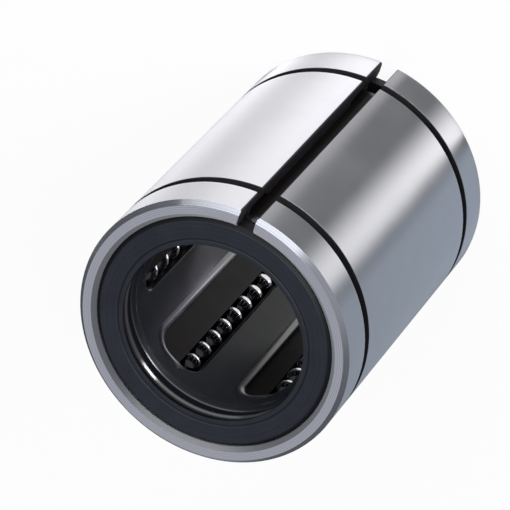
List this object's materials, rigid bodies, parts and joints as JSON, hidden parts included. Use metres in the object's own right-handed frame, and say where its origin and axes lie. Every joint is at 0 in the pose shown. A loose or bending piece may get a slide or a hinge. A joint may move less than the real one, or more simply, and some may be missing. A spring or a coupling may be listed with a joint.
{
  "type": "linear ball bearing",
  "caption": "Adjustable linear ball bearing: slit steel sleeve with outside clip grooves, sealed ends, moulded retainer and recirculating ball rows for a round shaft.",
  "frame": {"origin": "centre of the rear end face, on the bore axis", "axes": "+Z along the bore axis towards the front end; the slit faces -Y"},
  "size_m": [0.06, 0.0599, 0.08],
  "materials": {
    "ground_steel": "ground, satin",
    "retainer_plastic": "moulded, semi-matte",
    "seal_rubber": "moulded, matte",
    "spring_steel": "oiled, dark",
    "ball_steel": "polished"
  },
  "bodies": {
    "housing": {"outer_sleeve": "ground_steel", "ball_retainer": "retainer_plastic", "front_seal": "seal_rubber", "rear_seal": "seal_rubber", "front_snap_ring": "spring_steel", "rear_snap_ring": "spring_steel"},
    "circuit_1_load": {"circuit_1_load_balls": "ball_steel"},
    "circuit_1_return": {"circuit_1_return_balls": "ball_steel"},
    "circuit_1_front_turn": {"circuit_1_front_turn_balls": "ball_steel"},
    "circuit_1_rear_turn": {"circuit_1_rear_turn_balls": "ball_steel"},
    "circuit_2_load": {"circuit_2_load_balls": "ball_steel"},
    "circuit_2_return": {"circuit_2_return_balls": "ball_steel"},
    "circuit_2_front_turn": {"circuit_2_front_turn_balls": "ball_steel"},
    "circuit_2_rear_turn": {"circuit_2_rear_turn_balls": "ball_steel"},
    "circuit_3_load": {"circuit_3_load_balls": "ball_steel"},
    "circuit_3_return": {"circuit_3_return_balls": "ball_steel"},
    "circuit_3_front_turn": {"circuit_3_front_turn_balls": "ball_steel"},
    "circuit_3_rear_turn": {"circuit_3_rear_turn_balls": "ball_steel"},
    "circuit_4_load": {"circuit_4_load_balls": "ball_steel"},
    "circuit_4_return": {"circuit_4_return_balls": "ball_steel"},
    "circuit_4_front_turn": {"circuit_4_front_turn_balls": "ball_steel"},
    "circuit_4_rear_turn": {"circuit_4_rear_turn_balls": "ball_steel"},
    "circuit_5_load": {"circuit_5_load_balls": "ball_steel"},
    "circuit_5_return": {"circuit_5_return_balls": "ball_steel"},
    "circuit_5_front_turn": {"circuit_5_front_turn_balls": "ball_steel"},
    "circuit_5_rear_turn": {"circuit_5_rear_turn_balls": "ball_steel"},
    "circuit_6_load": {"circuit_6_load_balls": "ball_steel"},
    "circuit_6_return": {"circuit_6_return_balls": "ball_steel"},
    "circuit_6_front_turn": {"circuit_6_front_turn_balls": "ball_steel"},
    "circuit_6_rear_turn": {"circuit_6_rear_turn_balls": "ball_steel"}
  },
  "joints": [
    {"name": "circuit_1_load_roll", "type": "slide", "parent": "housing", "child": "circuit_1_load", "axis": [0, 0, 1], "range_m": [-0.0028, 0.0028]},
    {"name": "circuit_1_return_roll", "type": "slide", "parent": "housing", "child": "circuit_1_return", "axis": [0, 0, 1], "range_m": [-0.00281, 0.00281]},
    {"name": "circuit_1_front_turn_swing", "type": "hinge", "parent": "housing", "child": "circuit_1_front_turn", "pos_m": [0.01214, -0.01972, 0.06529], "axis": [0.6577, -0.733, -0.1736], "range_deg": [-44.9, 44.9]},
    {"name": "circuit_1_rear_turn_swing", "type": "hinge", "parent": "housing", "child": "circuit_1_rear_turn", "pos_m": [0.01214, -0.01972, 0.01471], "axis": [0.6577, -0.733, 0.1736], "range_deg": [-44.9, 44.9]},
    {"name": "circuit_2_load_roll", "type": "slide", "parent": "housing", "child": "circuit_2_load", "axis": [0, 0, 1], "range_m": [-0.0028, 0.0028]},
    {"name": "circuit_2_return_roll", "type": "slide", "parent": "housing", "child": "circuit_2_return", "axis": [0, 0, 1], "range_m": [-0.00281, 0.00281]},
    {"name": "circuit_2_front_turn_swing", "type": "hinge", "parent": "housing", "child": "circuit_2_front_turn", "pos_m": [0.02315, 0.00065, 0.06529], "axis": [0.9636, 0.2031, -0.1736], "range_deg": [-44.9, 44.9]},
    {"name": "circuit_2_rear_turn_swing", "type": "hinge", "parent": "housing", "child": "circuit_2_rear_turn", "pos_m": [0.02315, 0.00065, 0.01471], "axis": [0.9636, 0.2031, 0.1736], "range_deg": [-44.9, 44.9]},
    {"name": "circuit_3_load_roll", "type": "slide", "parent": "housing", "child": "circuit_3_load", "axis": [0, 0, 1], "range_m": [-0.0028, 0.0028]},
    {"name": "circuit_3_return_roll", "type": "slide", "parent": "housing", "child": "circuit_3_return", "axis": [0, 0, 1], "range_m": [-0.00281, 0.00281]},
    {"name": "circuit_3_front_turn_swing", "type": "hinge", "parent": "housing", "child": "circuit_3_front_turn", "pos_m": [0.01101, 0.02037, 0.06529], "axis": [0.3059, 0.9361, -0.1736], "range_deg": [-44.9, 44.9]},
    {"name": "circuit_3_rear_turn_swing", "type": "hinge", "parent": "housing", "child": "circuit_3_rear_turn", "pos_m": [0.01101, 0.02037, 0.01471], "axis": [0.3059, 0.9361, 0.1736], "range_deg": [-44.9, 44.9]},
    {"name": "circuit_4_load_roll", "type": "slide", "parent": "housing", "child": "circuit_4_load", "axis": [0, 0, 1], "range_m": [-0.0028, 0.0028]},
    {"name": "circuit_4_return_roll", "type": "slide", "parent": "housing", "child": "circuit_4_return", "axis": [0, 0, 1], "range_m": [-0.00281, 0.00281]},
    {"name": "circuit_4_front_turn_swing", "type": "hinge", "parent": "housing", "child": "circuit_4_front_turn", "pos_m": [-0.01214, 0.01972, 0.06529], "axis": [-0.6577, 0.733, -0.1736], "range_deg": [-44.9, 44.9]},
    {"name": "circuit_4_rear_turn_swing", "type": "hinge", "parent": "housing", "child": "circuit_4_rear_turn", "pos_m": [-0.01214, 0.01972, 0.01471], "axis": [-0.6577, 0.733, 0.1736], "range_deg": [-44.9, 44.9]},
    {"name": "circuit_5_load_roll", "type": "slide", "parent": "housing", "child": "circuit_5_load", "axis": [0, 0, 1], "range_m": [-0.0028, 0.0028]},
    {"name": "circuit_5_return_roll", "type": "slide", "parent": "housing", "child": "circuit_5_return", "axis": [0, 0, 1], "range_m": [-0.00281, 0.00281]},
    {"name": "circuit_5_front_turn_swing", "type": "hinge", "parent": "housing", "child": "circuit_5_front_turn", "pos_m": [-0.02315, -0.00065, 0.06529], "axis": [-0.9636, -0.2031, -0.1736], "range_deg": [-44.9, 44.9]},
    {"name": "circuit_5_rear_turn_swing", "type": "hinge", "parent": "housing", "child": "circuit_5_rear_turn", "pos_m": [-0.02315, -0.00065, 0.01471], "axis": [-0.9636, -0.2031, 0.1736], "range_deg": [-44.9, 44.9]},
    {"name": "circuit_6_load_roll", "type": "slide", "parent": "housing", "child": "circuit_6_load", "axis": [0, 0, 1], "range_m": [-0.0028, 0.0028]},
    {"name": "circuit_6_return_roll", "type": "slide", "parent": "housing", "child": "circuit_6_return", "axis": [0, 0, 1], "range_m": [-0.00281, 0.00281]},
    {"name": "circuit_6_front_turn_swing", "type": "hinge", "parent": "housing", "child": "circuit_6_front_turn", "pos_m": [-0.01101, -0.02037, 0.06529], "axis": [-0.3059, -0.9361, -0.1736], "range_deg": [-44.9, 44.9]},
    {"name": "circuit_6_rear_turn_swing", "type": "hinge", "parent": "housing", "child": "circuit_6_rear_turn", "pos_m": [-0.01101, -0.02037, 0.01471], "axis": [-0.3059, -0.9361, 0.1736], "range_deg": [-44.9, 44.9]}
  ],
  "couplings": [
    {"joint": "circuit_1_return_roll", "follows": "circuit_1_load_roll", "ratio": -1},
    {"joint": "circuit_1_front_turn_swing", "follows": "circuit_1_load_roll", "rad_per_m": 279.5},
    {"joint": "circuit_1_rear_turn_swing", "follows": "circuit_1_load_roll", "rad_per_m": 279.5},
    {"joint": "circuit_2_return_roll", "follows": "circuit_2_load_roll", "ratio": -1},
    {"joint": "circuit_2_front_turn_swing", "follows": "circuit_2_load_roll", "rad_per_m": 279.5},
    {"joint": "circuit_2_rear_turn_swing", "follows": "circuit_2_load_roll", "rad_per_m": 279.5},
    {"joint": "circuit_3_return_roll", "follows": "circuit_3_load_roll", "ratio": -1},
    {"joint": "circuit_3_front_turn_swing", "follows": "circuit_3_load_roll", "rad_per_m": 279.5},
    {"joint": "circuit_3_rear_turn_swing", "follows": "circuit_3_load_roll", "rad_per_m": 279.5},
    {"joint": "circuit_4_return_roll", "follows": "circuit_4_load_roll", "ratio": -1},
    {"joint": "circuit_4_front_turn_swing", "follows": "circuit_4_load_roll", "rad_per_m": 279.5},
    {"joint": "circuit_4_rear_turn_swing", "follows": "circuit_4_load_roll", "rad_per_m": 279.5},
    {"joint": "circuit_5_return_roll", "follows": "circuit_5_load_roll", "ratio": -1},
    {"joint": "circuit_5_front_turn_swing", "follows": "circuit_5_load_roll", "rad_per_m": 279.5},
    {"joint": "circuit_5_rear_turn_swing", "follows": "circuit_5_load_roll", "rad_per_m": 279.5},
    {"joint": "circuit_6_return_roll", "follows": "circuit_6_load_roll", "ratio": -1},
    {"joint": "circuit_6_front_turn_swing", "follows": "circuit_6_load_roll", "rad_per_m": 279.5},
    {"joint": "circuit_6_rear_turn_swing", "follows": "circuit_6_load_roll", "rad_per_m": 279.5}
  ]
}
